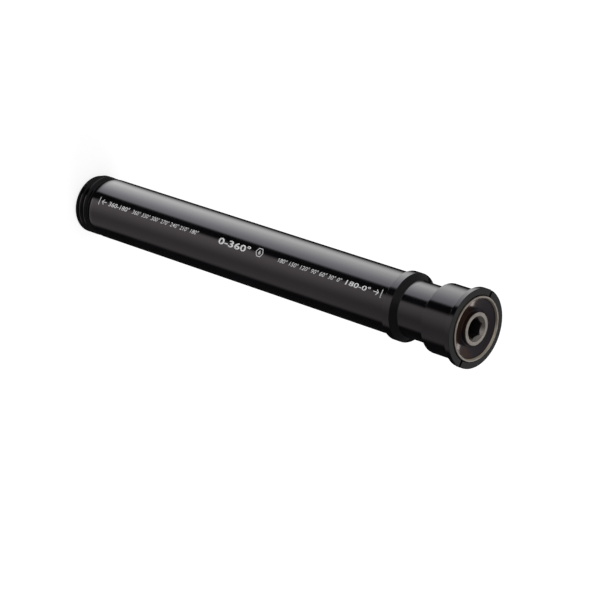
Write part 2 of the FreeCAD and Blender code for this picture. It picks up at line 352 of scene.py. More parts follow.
@dataclass(frozen=True)
class TurnedMetal(Finish):
    """Metal with fine rings from the lathe and faint patches of stain."""

    colour: Colour
    stain: Colour
    roughness: float
    patch_size: float = 2.4 * MM
    patch_edge: Span = (0.35, 0.7)
    patch_roughness: float = 0.12
    ring_pitch: float = 0.09 * MM
    ring_depth: float = 0.002 * MM

    def sockets(self, shader: Shader) -> dict[str, Any]:
        """Wire what the finish varies.

        Args:
            shader: the material that is being wired.

        Returns:
            What each of the BSDF's sockets gets, by name.
        """
        patches = shader.noise(self.patch_size, detail=3.0)
        return {
            "Base Color": shader.mix(
                patches.ramp(*self.patch_edge), rgba(*self.colour), rgba(*self.stain),
            ),
            "Metallic": 1.0,
            "Roughness": (patches - 0.5) * self.patch_roughness + self.roughness,
            "Normal": shader.bump(lathe_rings(shader, self.ring_pitch), self.ring_depth),
        }


@dataclass(frozen=True)
class FacedWedgeMetal(Finish):
    """Dark anodise, violet to brown, faced off bright on the lip, the boss and the countersink.

    Attributes:
        painted_reflection_turn: direction in which the dark skin goes brown, a painted reflection of the
            bare boss, in radians from the -Y axis.
        painted_reflection_fade: distance over which it does so.
        sink_share: how bare the countersink is inside the boss's inner edge.
        golden: colour of the lip below its top face, the face itself being bare.
    """

    name: str = "faced_wedge_metal"
    bare: Colour = (0.55, 0.50, 0.45)
    bare_dull: Colour = (0.44, 0.40, 0.363)
    bare_metallic: float = 1.0
    bare_roughness: float = 0.30
    violet: Colour = (0.033, 0.027, 0.032)
    brown: Colour = (0.058, 0.032, 0.024)
    dyed_metallic: float = 0.7
    dyed_roughness: float = 0.09
    dye_size: Span = (6 * MM, 3 * MM)
    dye_and_reflection_edge: Span = (0.48, 0.80)
    # Painted reflection: the dark skin is pushed towards brown on the -Y side, where the bare boss is
    # mirrored.
    painted_reflection_turn: float = math.radians(18)
    painted_reflection_fade: float = 18.0 * MM
    edge_softness: float = 0.03 * MM
    faced_above: float = 168.66 * MM
    sink_radius: float = 4.1 * MM
    sink_floor: float = 167.7 * MM
    sink_share: float = 0.7
    golden: Colour = (0.66, 0.56, 0.42)
    golden_fade: float = 0.1 * MM
    lip_inner_radius: float = 9.3 * MM
    lip_floor: float = 168.45 * MM
    lip_top: float = 168.9 * MM
    patch_size: float = 2.4 * MM
    patch_edge: Span = (0.35, 0.7)
    patch_roughness: float = 0.04
    ring_pitch: float = 0.11 * MM
    ring_depth: float = 0.0007 * MM

    def edge(self, measure: Value, middle: float, width: float = 1.0) -> Value:
        """Rise from 0 to 1 over a soft edge.

        Args:
            measure: a radius or a height.
            middle: the measure at which the edge lies, in metres.
            width: half its width, in softnesses.

        Returns:
            The eased share.
        """
        half = width * self.edge_softness
        return measure.ramp(middle - half, middle + half)

    def faced(self, radius: Value, z: Value) -> tuple[Value, Value]:
        """Find where the dyed skin is cut away.

        Args:
            radius: distance from the axis.
            z: height above the threaded end.

        Returns:
            How bare the metal is, and how far it belongs to the lip.
        """
        on_boss = radius.ramp(self.sink_radius - 2 * self.edge_softness, self.sink_radius)
        flat = self.edge(z, self.faced_above) * on_boss
        sink = (1.0 - self.edge(radius, self.sink_radius)) * self.edge(z, self.sink_floor)
        sink = sink * (on_boss * (1.0 - self.sink_share) + self.sink_share)
        lip = self.edge(radius, self.lip_inner_radius, 2.0) * self.edge(z, self.lip_floor, 3.0)
        return flat.math("MAXIMUM", sink).math("MAXIMUM", lip), lip

    def sockets(self, shader: Shader) -> dict[str, Any]:
        """Wire what the finish varies.

        Args:
            shader: the material that is being wired.

        Returns:
            What each of the BSDF's sockets gets, by name.
        """
        x, y, z, radius = shader.position()
        bright, lip = self.faced(radius, z)
        golden = lip * (1.0 - z.ramp(self.lip_top - self.golden_fade, self.lip_top))
        # The random violet and brown patches are the anodise's own tone; the drift to brown towards the
        # -Y side is a painted reflection of the bare boss.
        across = x * math.sin(self.painted_reflection_turn) - y * math.cos(self.painted_reflection_turn)
        dye_and_reflection_share = shader.noise(*self.dye_size, detail=1.0) + across / self.painted_reflection_fade
        dyed = shader.mix(dye_and_reflection_share.ramp(*self.dye_and_reflection_edge), rgba(*self.violet), rgba(*self.brown))
        patches = shader.noise(self.patch_size, detail=3.0)
        bare = shader.mix(patches.ramp(*self.patch_edge), rgba(*self.bare), rgba(*self.bare_dull))
        bare = shader.mix(golden, bare, rgba(*self.golden))
        roughness = bright * (self.bare_roughness - self.dyed_roughness) + self.dyed_roughness
        return {
            "Base Color": shader.mix(bright, dyed, bare),
            "Metallic": bright * (self.bare_metallic - self.dyed_metallic) + self.dyed_metallic,
            "Roughness": roughness + (patches - 0.5) * self.patch_roughness,
            "Normal": shader.bump(lathe_rings(shader, self.ring_pitch), self.ring_depth),
        }


@dataclass(frozen=True)
class SealRubber(Finish):
    """Matt black rubber."""

    name: str = "seal_rubber"
    colour: Colour = (0.012, 0.012, 0.012)
    bloom: Colour = (0.03, 0.03, 0.03)
    roughness: float = 0.6
    grain_size: float = 0.15 * MM
    grain_roughness: float = 0.2
    grain_depth: float = 0.01 * MM

    def sockets(self, shader: Shader) -> dict[str, Any]:
        """Wire what the finish varies.

        Args:
            shader: the material that is being wired.

        Returns:
            What each of the BSDF's sockets gets, by name.
        """
        grain = shader.noise(self.grain_size, detail=3.0)
        return {
            "Base Color": shader.mix(grain, rgba(*self.colour), rgba(*self.bloom)),
            "Roughness": (grain - 0.5) * self.grain_roughness + self.roughness,
            "Normal": shader.bump(grain, self.grain_depth),
        }


@dataclass(frozen=True)
class MarkInk(Finish):
    """White ink of the printed marks, a little worn."""

    name: str = "mark_ink"
    colour: Colour = (0.92, 0.92, 0.92)
    worn: Colour = (0.70, 0.70, 0.71)
    roughness: float = 0.5
    speckle_size: float = 0.2 * MM
    speckle_edge: Span = (0.4, 0.7)
    speckle_roughness: float = 0.1

    def sockets(self, shader: Shader) -> dict[str, Any]:
        """Wire what the finish varies.

        Args:
            shader: the material that is being wired.

        Returns:
            What each of the BSDF's sockets gets, by name.
        """
        speckle = shader.noise(self.speckle_size, detail=3.0)
        return {
            "Base Color": shader.mix(
                speckle.ramp(*self.speckle_edge), rgba(*self.colour), rgba(*self.worn),
            ),
            "Roughness": (speckle - 0.5) * self.speckle_roughness + self.roughness,
        }


# Workshop: how meshes are made

@dataclass(frozen=True)
class Corner:
    """One corner of a turned outline, in millimetres.

    Attributes:
        radius: distance from the axle's axis.
        height: height above the threaded end.
        round: radius of the corner's rounding.
    """

    radius: float
    height: float
    round: float = 0.0


def rounded_outline(corners: Sequence[Corner], steps: int = 5, support: float = 0.06,
                    fullest: float = 0.9) -> list[Vector]:
    """Round a closed outline's corners and add a point close beside each rounding.

    Args:
        corners: the outline, in order.
        steps: points in each rounding.
        support: distance from a rounding's end to the point beside it.
        fullest: largest share of the half edge beside it that a rounding takes up.

    Returns:
        Points in the XZ plane, in metres.
    """
    flat = [Vector((corner.radius, 0.0, corner.height)) for corner in corners]
    points: list[Vector] = []
    for place, corner in enumerate(corners):
        here, before, after = flat[place], flat[place - 1], flat[(place + 1) % len(flat)]
        back, ahead = before - here, after - here
        room = min(back.length, ahead.length) / 2
        back.normalize()
        ahead.normalize()
        half_angle = back.angle(ahead) / 2
        reach = min(corner.round / math.tan(half_angle), room * fullest) if corner.round else 0.0
        if reach + support < room:
            points.append(here + back * (reach + support))
        if reach:
            middle = here + (back + ahead).normalized() * (reach / math.cos(half_angle))
            start, end = here + back * reach - middle, here + ahead * reach - middle
            sweep = start.angle(end)
            for step in range(steps + 1):
                share = step / steps
                arm = start * math.sin((1 - share) * sweep) + end * math.sin(share * sweep)
                points.append(middle + arm / math.sin(sweep))
        else:
            points.append(here)
        if reach + support < room:
            points.append(here + ahead * (reach + support))
    return [point * MM for point in points]


def deselect() -> None:
    """Leave edit mode and let go of every object."""
    if bpy.context.object and bpy.context.object.mode != "OBJECT":
        bpy.ops.object.mode_set(mode="OBJECT")
    bpy.ops.object.select_all(action="DESELECT")


def pick(piece: bpy.types.Object) -> None:
    """Select one object alone and make it active.

    Args:
        piece: the object.
    """
    deselect()
    piece.select_set(True)
    bpy.context.view_layer.objects.active = piece


def edit_all(piece: bpy.types.Object) -> None:
    """Open a piece in edit mode with all of it selected.

    Args:
        piece: the piece.
    """
    pick(piece)
    bpy.ops.object.mode_set(mode="EDIT")
    bpy.ops.mesh.select_all(action="SELECT")


def settle(piece: bpy.types.Object, name: str) -> bpy.types.Object:
    """Name a new piece and put its place into its mesh.

    Args:
        piece: the object to settle.
        name: its new name.

    Returns:
        The same object, at the origin, unturned and unscaled.
    """
    pick(piece)
    bpy.ops.object.transform_apply(location=True, rotation=True, scale=True)
    piece.name = name
    piece.data.name = name
    return piece


def close_up(piece: bpy.types.Object) -> None:
    """Merge doubled points and turn every face outwards.

    Args:
        piece: the piece.
    """
    edit_all(piece)
    bpy.ops.mesh.remove_doubles(threshold=MERGE_DISTANCE)
    bpy.ops.mesh.normals_make_consistent(inside=False)
    bpy.ops.object.mode_set(mode="OBJECT")


def smooth(piece: bpy.types.Object, angle: float = SMOOTH_ANGLE) -> None:
    """Shade a piece smooth except over its sharp edges."""
    pick(piece)
    bpy.ops.object.shade_smooth_by_angle(angle=angle)


def drawn(name: str, outline: Sequence[Vector]) -> bpy.types.Object:
    """Draw a closed outline point by point.

    Args:
        name: name of the new piece.
        outline: points in the XZ plane, in metres.

    Returns:
        A loop of edges without faces.
    """
    deselect()
    bpy.ops.mesh.primitive_plane_add(size=MM, location=outline[0])
    piece = settle(bpy.context.object, name)
    edit_all(piece)
    bpy.ops.mesh.merge(type="CENTER")
    for here, ahead in zip(outline, outline[1:]):
        bpy.ops.mesh.extrude_vertices_move(TRANSFORM_OT_translate={"value": ahead - here})
    bpy.ops.object.mode_set(mode="OBJECT")
    piece.data.vertices[0].select = True
    bpy.ops.object.mode_set(mode="EDIT")
    bpy.ops.mesh.edge_face_add()
    bpy.ops.object.mode_set(mode="OBJECT")
    return piece


def turned(name: str, outline: Sequence[Vector], segments: int = SEGMENTS) -> bpy.types.Object:
    """Spin a closed outline about the axle's axis.

    Args:
        name: name of the new piece.
        outline: points in the XZ plane, in metres.
        segments: faces round the axis.

    Returns:
        The closed piece.
    """
    piece = drawn(name, outline)
    edit_all(piece)
    bpy.ops.mesh.spin(steps=segments, angle=2 * math.pi, center=(0, 0, 0), axis=(0, 0, 1))
    bpy.ops.object.mode_set(mode="OBJECT")
    close_up(piece)
    return piece


def apply_modifier(piece: bpy.types.Object, kind: str, **settings: Any) -> None:
    """Add a modifier to a piece, set it and apply it.

    Args:
        piece: the piece.
        kind: the modifier's type.
        settings: the modifier's own properties.
    """
    pick(piece)
    modifier = piece.modifiers.new(kind.lower(), kind)
    for name, setting in settings.items():
        setattr(modifier, name, setting)
    bpy.ops.object.modifier_apply(modifier=modifier.name)


def cut_away(piece: bpy.types.Object, cutter: bpy.types.Object) -> None:
    """Take a cutter's space out of a piece and delete the cutter."""
    apply_modifier(piece, "BOOLEAN", operation="DIFFERENCE", solver="EXACT", object=cutter)
    bpy.data.objects.remove(cutter)


def block_cutter(low: Sequence[float], high: Sequence[float]) -> bpy.types.Object:
    """Add a cutter with its sides along the axes.

    Args:
        low: lowest corner, in millimetres.
        high: highest corner, in millimetres.

    Returns:
        The cutter.
    """
    deselect()
    middle = (Vector(low) + Vector(high)) / 2 * MM
    bpy.ops.mesh.primitive_cube_add(size=1.0, location=middle)
    cutter = bpy.context.object
    cutter.scale = (Vector(high) - Vector(low)) * MM
    return settle(cutter, "block_cutter")


def hexagon_cutter(size: float, bottom: float, top: float, turn: float) -> bpy.types.Object:
    """Add the six-sided cutter of a key socket.

    Args:
        size: distance across its flats, in millimetres.
        bottom: height of its floor, in millimetres.
        top: height of its upper end, in millimetres.
        turn: angle of one corner, in degrees.

    Returns:
        The cutter.
    """
    deselect()
    bpy.ops.mesh.primitive_cylinder_add(
        vertices=6, radius=size / 2 / math.cos(math.pi / 6) * MM, depth=(top - bottom) * MM,
        location=(0, 0, (bottom + top) / 2 * MM), rotation=(0, 0, math.radians(turn + 90)),
    )
    return settle(bpy.context.object, "hexagon_cutter")


def smooth_copy(node: str) -> bpy.types.Object:
    """Copy a CAD node, join its loose triangles and shade it smooth.

    Args:
        node: name of the CAD node.

    Returns:
        The copy, which replaces the node.
    """
    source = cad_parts[node]
    piece = bpy.data.objects.new(node + "_finished", source.data.copy())
    bpy.context.scene.collection.objects.link(piece)
    edit_all(piece)
    bpy.ops.mesh.remove_doubles(threshold=MERGE_DISTANCE)
    bpy.ops.object.mode_set(mode="OBJECT")
    smooth(piece)
    return piece


def put_on(piece: bpy.types.Object, body: Body, material: bpy.types.Material, slot: Slot,
           *nodes: str) -> None:
    """Dress a piece, hang it on the body that carries it and hide the CAD nodes that it replaces.

    Args:
        piece: the finished piece.
        body: the body that carries it.
        material: its only material.
        slot: the record's material slot; not used.
        nodes: the CAD nodes that it replaces.
    """
    piece.data.materials.clear()
    piece.data.materials.append(material)
    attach(piece, body.value)
    if nodes:
        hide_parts(*nodes)
    log.info("%s: %d faces on %s", piece.name, len(piece.data.polygons), body.value)


# Sub-assemblies

@dataclass
class AxleBody:
    """The turned axle: thread, tube, collar, neck, split head and flange.

    Attributes:
        thread_depth: depth of the thread's groove, as a share of its pitch.
        thread_root: width of the groove's flat bottom, as a share of its pitch.
        thread_clear: how far the groove's cutter reaches out past the crests, as such a share.
        thread_flank: slope of the groove's sides.
        lead_in: where the tube swells from the undercut to its full size, as depths below its
            surface, heights above its lower end and roundings.
    """

    tube_radius: float = 10.0
    thread_length: float = 5.9
    thread_pitch: float = 2.0
    thread_start: float = -2.0
    thread_depth: float = 0.5413
    thread_root: float = 0.25
    thread_clear: float = 0.05
    thread_flank: float = math.radians(30)
    thread_end_chamfer: float = 1.2
    thread_end_chamfer_length: float = 0.8
    undercut_radius: float = 8.6
    undercut_bottom: float = 6.7
    tube_bottom: float = 7.0
    lead_in: tuple[tuple[float, float, float], ...] = (
        (0.4, 0.0, 0.12), (0.2, 0.5, 1.12), (0.08, 1.0, 2.12), (0.0, 1.9, 2.12),
    )
    collar_radius: float = 11.0
    collar_bottom: float = 140.4
    collar_bevel: float = 0.3
    collar_top: float = 143.5
    neck_radius: float = 9.0
    neck_bottom: float = 145.2
    head_radius: float = 11.0
    head_bottom: float = 156.3
    flange_radius: float = 12.5
    flange_bottom: float = 166.7
    flange_top: float = 168.5
    mouth_radius: float = 10.45
    taper_top: float = 167.935
    taper_bottom: float = 154.056
    bore_radius: float = 7.5
    web_top: float = 18.05
    web_bottom: float = 15.35
    web_hole_radius: float = 4.2
    groove_radius: float = 7.85
    groove_bottom: float = 1.6
    groove_top: float = 2.7
    mouth_chamfer: float = 0.4
    slit_width: float = 0.9
    slit_length: float = 22.8
    edge: float = 0.1
    bore_edge: float = 0.05
    thread_end_round: float = 0.5
    neck_bottom_round: float = 0.25
    neck_top_round: float = 0.3
    head_round: float = 0.18
    flange_foot_round: float = 0.15
    mouth_round: float = 0.06
    web_round: float = 0.3
    finish: GlossAnodise = GlossAnodise()

    def outline(self) -> list[Corner]:
        """Draw the section of the body, outside and then inside.

        Returns:
            The section's corners.
        """
        edge = self.edge
        return [
            Corner(self.bore_radius + self.mouth_chamfer, 0.0, self.bore_edge),
            Corner(self.tube_radius - self.thread_end_chamfer, 0.0, edge),
            Corner(self.tube_radius, self.thread_end_chamfer_length, edge),
            Corner(self.tube_radius, self.thread_length, self.thread_end_round),
            Corner(self.undercut_radius, self.undercut_bottom, edge),
            Corner(self.undercut_radius, self.tube_bottom, edge),
            *(Corner(self.tube_radius - depth, self.tube_bottom + rise, rounding)
              for depth, rise, rounding in self.lead_in),
            Corner(self.tube_radius, self.collar_bottom, edge),
            Corner(self.collar_radius, self.collar_bottom + self.collar_bevel, edge),
            Corner(self.collar_radius, self.collar_top, edge),
            Corner(self.neck_radius, self.neck_bottom, self.neck_bottom_round),
            Corner(self.neck_radius, self.head_bottom, self.neck_top_round),
            Corner(self.head_radius, self.head_bottom, self.head_round),
            Corner(self.head_radius, self.flange_bottom, self.flange_foot_round),
            Corner(self.flange_radius, self.flange_bottom, edge),
            Corner(self.flange_radius, self.flange_top, edge),
            Corner(self.mouth_radius, self.flange_top, self.mouth_round),
            Corner(self.mouth_radius, self.taper_top),
            Corner(self.bore_radius, self.taper_bottom),
            Corner(self.bore_radius, self.web_top, self.web_round),
            Corner(self.web_hole_radius, self.web_top, edge),
            Corner(self.web_hole_radius, self.web_bottom, edge),
            Corner(self.bore_radius, self.web_bottom),
            Corner(self.bore_radius, self.groove_top),
            Corner(self.groove_radius, self.groove_top),
            Corner(self.groove_radius, self.groove_bottom),
            Corner(self.bore_radius, self.groove_bottom),
            Corner(self.bore_radius, self.mouth_chamfer, self.bore_edge),
        ]

    def thread_cutter(self) -> bpy.types.Object:
        """Wind the thread's groove, from below the threaded end up to the undercut.

        Returns:
            The cutter.
        """
        pitch = self.thread_pitch
        root = self.tube_radius - self.thread_depth * pitch
        outer = self.tube_radius + self.thread_clear * pitch
        root_half = self.thread_root * pitch / 2
        outer_half = root_half + (outer - root) * math.tan(self.thread_flank)
        turns = (self.tube_bottom - outer_half - self.thread_start) / pitch
        corners = ((root, -root_half), (outer, -outer_half), (outer, outer_half), (root, root_half))
        cutter = drawn("thread_cutter", [
            Vector((radius, 0.0, self.thread_start + height)) * MM for radius, height in corners
        ])
        apply_modifier(
            cutter, "SCREW", axis="Z", angle=2 * math.pi * turns, screw_offset=pitch * turns * MM,
            iterations=1, steps=round(SEGMENTS * turns), render_steps=round(SEGMENTS * turns),
            use_smooth_shade=False,
        )
        edit_all(cutter)
        bpy.ops.mesh.remove_doubles(threshold=MERGE_DISTANCE)
        bpy.ops.mesh.fill_holes(sides=4)
        bpy.ops.mesh.normals_make_consistent(inside=False)
        bpy.ops.object.mode_set(mode="OBJECT")
        return cutter

    def build(self) -> bpy.types.Object:
        """Turn the body, saw its slit and cut its thread.

        Returns:
            The finished body.
        """
        body = turned("axle_body_turned", rounded_outline(self.outline()))
        reach = self.flange_radius + CUTTER_REACH
        cut_away(body, block_cutter(
            (-reach, -self.slit_width / 2, self.flange_top - self.slit_length),
            (reach, self.slit_width / 2, self.flange_top + CUTTER_REACH),
        ))
        cut_away(body, self.thread_cutter())
        close_up(body)
        smooth(body)
        return body

    def dress(self) -> bpy.types.Object:
        """Build the body and give it its finish.

        Returns:
            The finished body.
        """
        body = self.build()
        put_on(body, Body.AXLE, self.finish.material(), Slot.ANODISED_BODY, "axle_body")
        return body


@dataclass
class Wedge:
    """The expanding wedge with its dished face and its boss with a hexagon socket.

    Attributes:
        dish_rim: radius of the dish where its wall starts, and its height above the boss's foot.
        dish_knee: radius of the dish where its floor flattens out, and its height likewise.
    """

    lip_radius: float = 10.2
    lip_top: float = 168.9
    lip_bottom: float = 167.9
    lip_width: float = 0.55
    lip_inner_chamfer: float = 0.3
    guide_radius: float = 7.42
    guide_top: float = 154.82
    guide_bottom: float = 145.52
    dish_depth: float = 1.9
    dish_rim: Span = (9.15, 1.3)
    dish_knee: Span = (6.3, 0.45)
    boss_foot: float = 0.3
    boss_radius: float = 5.2
    boss_top: float = 168.85
    key_size: float = 6.0
    socket_depth: float = 7.0
    socket_turn: float = 15.0
    sink_radius: float = 4.05
    sink_depth: float = 1.1
    rod_bore_radius: float = 4.05
    rod_bore_top: float = 158.22
    rod_bore_tip: float = 160.65
    drive_key_root: float = 5.62
    drive_key_bottom: float = 148.02
    drive_key_height: float = 6.0
    drive_key_thickness: float = 0.8
    edge: float = 0.1
    guide_round: float = 0.3
    lip_foot_round: float = 0.05
    lip_round: float = 0.12
    lip_chamfer_round: float = 0.3
    dish_rim_round: float = 0.4
    dish_knee_round: float = 6.0
    boss_round: float = 0.14
    sink_round: float = 0.06
    rounding_steps: int = 6
    finish: FacedWedgeMetal = FacedWedgeMetal()

    def outline(self) -> list[Corner]:
        """Draw the section of the wedge from its bore round to its axis.

        Returns:
            The section's corners.
        """
        floor = self.lip_top - self.dish_depth
        lip_inner = self.lip_radius - self.lip_width
        dish_radius = lip_inner - self.lip_inner_chamfer
        return [
            Corner(self.rod_bore_radius, self.guide_bottom, self.edge),
            Corner(self.guide_radius, self.guide_bottom, self.guide_round),
            Corner(self.guide_radius, self.guide_top),
            Corner(self.lip_radius, self.lip_bottom, self.lip_foot_round),
            Corner(self.lip_radius, self.lip_top, self.lip_round),
            Corner(lip_inner, self.lip_top, self.edge),
            Corner(dish_radius, self.lip_top - self.lip_inner_chamfer, self.lip_chamfer_round),
            Corner(self.dish_rim[0], floor + self.dish_rim[1], self.dish_rim_round),
            Corner(self.dish_knee[0], floor + self.dish_knee[1], self.dish_knee_round),
            Corner(self.boss_radius, floor, self.boss_foot),
            Corner(self.boss_radius, self.boss_top, self.boss_round),
            Corner(self.sink_radius, self.boss_top, self.sink_round),
            Corner(self.sink_radius - self.sink_depth, self.boss_top - self.sink_depth),
            Corner(0.0, self.boss_top - self.sink_depth),
            Corner(0.0, self.rod_bore_tip),
            Corner(self.rod_bore_radius, self.rod_bore_top),
        ]

    def build(self) -> bpy.types.Object:
        """Turn the wedge, sink its socket and cut its key seats.

        Returns:
            The finished wedge.
        """
        wedge = turned("expander_wedge_turned", rounded_outline(self.outline(), self.rounding_steps))
        socket_bottom, socket_top = self.boss_top - self.socket_depth, self.boss_top + CUTTER_REACH
        cut_away(wedge, hexagon_cutter(self.key_size, socket_bottom, socket_top, self.socket_turn))
        for side in (1, -1):
            ends = sorted((side * self.drive_key_root, side * (self.guide_radius + CUTTER_REACH)))
            cut_away(wedge, block_cutter(
                (ends[0], -self.drive_key_thickness / 2, self.drive_key_bottom),
                (ends[1], self.drive_key_thickness / 2, self.drive_key_bottom + self.drive_key_height),
            ))
        smooth(wedge)
        return wedge

    def dress(self) -> None:
        """Build the wedge and give it its finish."""
        put_on(self.build(), Body.WEDGE, self.finish.material(), Slot.WEDGE_METAL, "expander_wedge")


@dataclass(frozen=True)
class Figures:
    """A run of printed figures.

    Attributes:
        text: the figures.
        start: height of their first edge above the threaded end, in millimetres.
        end: height of their last edge.
        height: how tall they are, in millimetres.
        above: how far their middle is above the line of print, in millimetres.
        weight: how much wider their strokes are than the plain type's, as a share of its size.
        slant: how far they lean.
    """

    text: str
    start: float
    end: float
    height: float
    above: float = 0.0
    weight: float = 0.0
    slant: float = 0.0


@dataclass
class PrintedMarks:
    """White marks printed along the tube: a scale of degrees, end bars, arrows and the key's size.

    They are drawn flat in the XY plane and then laid on the tube: x is the height above the
    threaded end, and y runs round the tube, both in millimetres.

    Attributes:
        turn: how far the line of print lies from the -Y axis, in radians.
        arrow_spans: where each arrow's tail and tip lie.
        thin: width of a stroke.
        stand_off: how far from the tube the marks stand before they are laid on it.
        hexagon_middle: middle of the hexagon round the key's size.
        flat_step: width of the strips into which the marks are cut to bend round the tube.
    """

    tube_radius: float = 10.0
    turn: float = math.radians(2.08)
    bar_heights: Span = (11.4, 138.2)
    bar_length: float = 2.7
    arrow_spans: tuple[Span, ...] = ((14.8, 12.7), (134.9, 137.0))
    arrow_head: float = 0.85
    thin: float = 0.24
    figures: tuple[Figures, ...] = (
        Figures("360-180°", 15.9, 26.1, 1.65, 0.0, 0.012, 0.1),
        Figures("360° 330° 300° 270° 240° 210° 180°", 27.5, 58.8, 1.45, -0.05, 0.002, 0.2),
        Figures("0-360°", 68.2, 82.4, 2.3, 0.0, 0.022),
        Figures("6", 85.9, 86.9, 1.4, 0.3, 0.02),
        Figures("180° 150° 120° 90° 60° 30° 0°", 94.8, 121.9, 1.45, -0.05, 0.002, 0.2),
        Figures("180-0°", 123.5, 133.7, 1.65, 0.0, 0.016, 0.1),
    )
    figure_curve_steps: int = 3
    hexagon_middle: Span = (86.4, 0.28)
    hexagon_radius: float = 1.62
    hexagon_width: float = 0.22
    ink_thickness: float = 0.02
    stand_off: float = 1.0
    flat_step: float = 0.4
    finish: MarkInk = MarkInk()
    pieces: list[bpy.types.Object] = field(default_factory=list)

    def stroke(self, start: Span, end: Span) -> None:
        """Draw one straight stroke.

        Args:
            start: the point from which it runs.
            end: the point to which it runs.
        """
        run = Vector(end) - Vector(start)
        middle = (Vector(start) + Vector(end)) / 2 * MM
        deselect()
        bpy.ops.mesh.primitive_plane_add(
            size=MM, location=(middle.x, middle.y, 0.0), rotation=(0, 0, math.atan2(run.y, run.x)),
        )
        bpy.context.object.scale = (run.length, self.thin, 1.0)
        self.pieces.append(bpy.context.object)

    def arrow(self, tail: float, tip: float) -> None:
        """Draw an arrow along the line of print.

        Args:
            tail: height of its tail.
            tip: height of its tip.
        """
        back = tip - math.copysign(self.arrow_head, tip - tail)
        self.stroke((tail, 0.0), (tip, 0.0))
        for side in (1, -1):
            self.stroke((back, side * self.arrow_head), (tip, 0.0))

    def write(self, run: Figures) -> None:
        """Write a run of figures and fit it to its place.

        Args:
            run: the figures.
        """
        deselect()
        bpy.ops.object.text_add()
        writing = bpy.context.object
        writing.data.body = run.text
        writing.data.offset = run.weight
        writing.data.shear = run.slant
        writing.data.resolution_u = self.figure_curve_steps
        bpy.ops.object.convert(target="MESH")
        piece = bpy.context.object
        bpy.ops.object.origin_set(type="ORIGIN_GEOMETRY", center="BOUNDS")
        piece.location = ((run.start + run.end) / 2 * MM, run.above * MM, 0.0)
        length, height, _ = piece.dimensions
        piece.scale = ((run.end - run.start) * MM / length, run.height * MM / height, 1.0)
        self.pieces.append(piece)

    def hexagon(self) -> None:
        """Draw the hexagon round the key's size."""
        deselect()
        bpy.ops.mesh.primitive_circle_add(
            vertices=6, radius=self.hexagon_radius * MM, fill_type="NGON",
            location=Vector((*self.hexagon_middle, 0.0)) * MM, rotation=(0, 0, math.radians(90)),
        )
        piece = bpy.context.object
        edit_all(piece)
        bpy.ops.mesh.inset(thickness=self.hexagon_width * MM)
        bpy.ops.mesh.delete(type="FACE")
        bpy.ops.object.mode_set(mode="OBJECT")
        self.pieces.append(piece)

    def draw(self) -> None:
        """Draw every mark flat."""
        for place in self.bar_heights:
            self.stroke((place, -self.bar_length / 2), (place, self.bar_length / 2))
        for tail, tip in self.arrow_spans:
            self.arrow(tail, tip)
        for run in self.figures:
            self.write(run)
        self.hexagon()

    def build(self, tube: bpy.types.Object) -> bpy.types.Object:
        """Draw the marks and lay them on the tube.

        Args:
            tube: the finished axle body.

        Returns:
            The marks as one thin piece.
        """
        self.draw()
        deselect()
        for piece in self.pieces:
            piece.select_set(True)
        bpy.context.view_layer.objects.active = self.pieces[0]
        bpy.ops.object.join()
        marks = settle(bpy.context.object, "printed_marks")
        edit_all(marks)
        reach = int(self.bar_length / 2 / self.flat_step) + 1
        for line in range(-reach, reach + 1):
            bpy.ops.mesh.select_all(action="SELECT")
            bpy.ops.mesh.bisect(plane_co=(0, line * self.flat_step * MM, 0), plane_no=(0, 1, 0))
        bpy.ops.object.mode_set(mode="OBJECT")
        stand = Matrix(((0, -1, 0), (0, 0, -1), (1, 0, 0))).to_4x4()
        ahead = Vector((0, -self.tube_radius - self.stand_off, 0)) * MM
        marks.matrix_world = Matrix.Translation(ahead) @ stand
        settle(marks, "printed_marks")
        marks.matrix_world = Matrix.Rotation(self.turn, 4, "Z")
        apply_modifier(
            marks, "SHRINKWRAP", target=tube, wrap_method="PROJECT", use_project_y=True,
            use_positive_direction=True, use_negative_direction=False,
        )
        settle(marks, "printed_marks")
        close_up(marks)
        apply_modifier(marks, "SOLIDIFY", thickness=self.ink_thickness * MM, offset=1.0)
        return marks

    def dress(self, tube: bpy.types.Object) -> None:
        """Build the marks on the finished axle body and give them their ink."""
        put_on(self.build(tube), Body.AXLE, self.finish.material(), Slot.ANODISED_BODY)


@dataclass(frozen=True)
class InnerPieces:
    """The pieces inside the axle, whose shapes are the CAD's own."""

    dark_steel: TurnedMetal = TurnedMetal("dark_steel", (0.20, 0.20, 0.21), (0.13, 0.13, 0.14), 0.35)
    bright_steel: TurnedMetal = TurnedMetal("bright_steel", (0.55, 0.55, 0.57), (0.42, 0.42, 0.44), 0.25)
    bronze: TurnedMetal = TurnedMetal("washer_bronze", (0.60, 0.38, 0.17), (0.42, 0.26, 0.12), 0.3)
    rubber: SealRubber = SealRubber()

    def dress(self) -> None:
        """Copy each piece, shade it smooth and give it its finish."""
        dark, bright = self.dark_steel.material(), self.bright_steel.material()
        bronze, rubber = self.bronze.material(), self.rubber.material()
        for node, body, material, slot in (
            ("drive_key_a", Body.WEDGE, bright, Slot.SPRING_STEEL),
            ("drive_key_b", Body.WEDGE, bright, Slot.SPRING_STEEL),
            ("draw_rod", Body.ROD, dark, Slot.ROD_STEEL),
            ("thrust_washer", Body.AXLE, bronze, Slot.WASHER_BRONZE),
            ("click_ring", Body.AXLE, dark, Slot.RING_STEEL),
            ("click_ball_a", Body.BALL_A, bright, Slot.SPRING_STEEL),
            ("click_ball_b", Body.BALL_B, bright, Slot.SPRING_STEEL),
            ("click_spring", Body.ROD, bright, Slot.SPRING_STEEL),
            ("rod_seal", Body.ROD, rubber, Slot.SEAL_RUBBER),
            ("retaining_ring", Body.AXLE, dark, Slot.RING_STEEL),
        ):
            put_on(smooth_copy(node), body, material, slot, node)


# Studio

@dataclass(frozen=True)
class Fade:
    """A smooth loss of light as a measure grows from start to end."""

    start: float
    end: float
    loss: float = 1.0

    def left(self, measure: Value) -> Value:
        """Share of the light that is left."""
        return 1.0 - measure.ramp(self.start, self.end) * self.loss


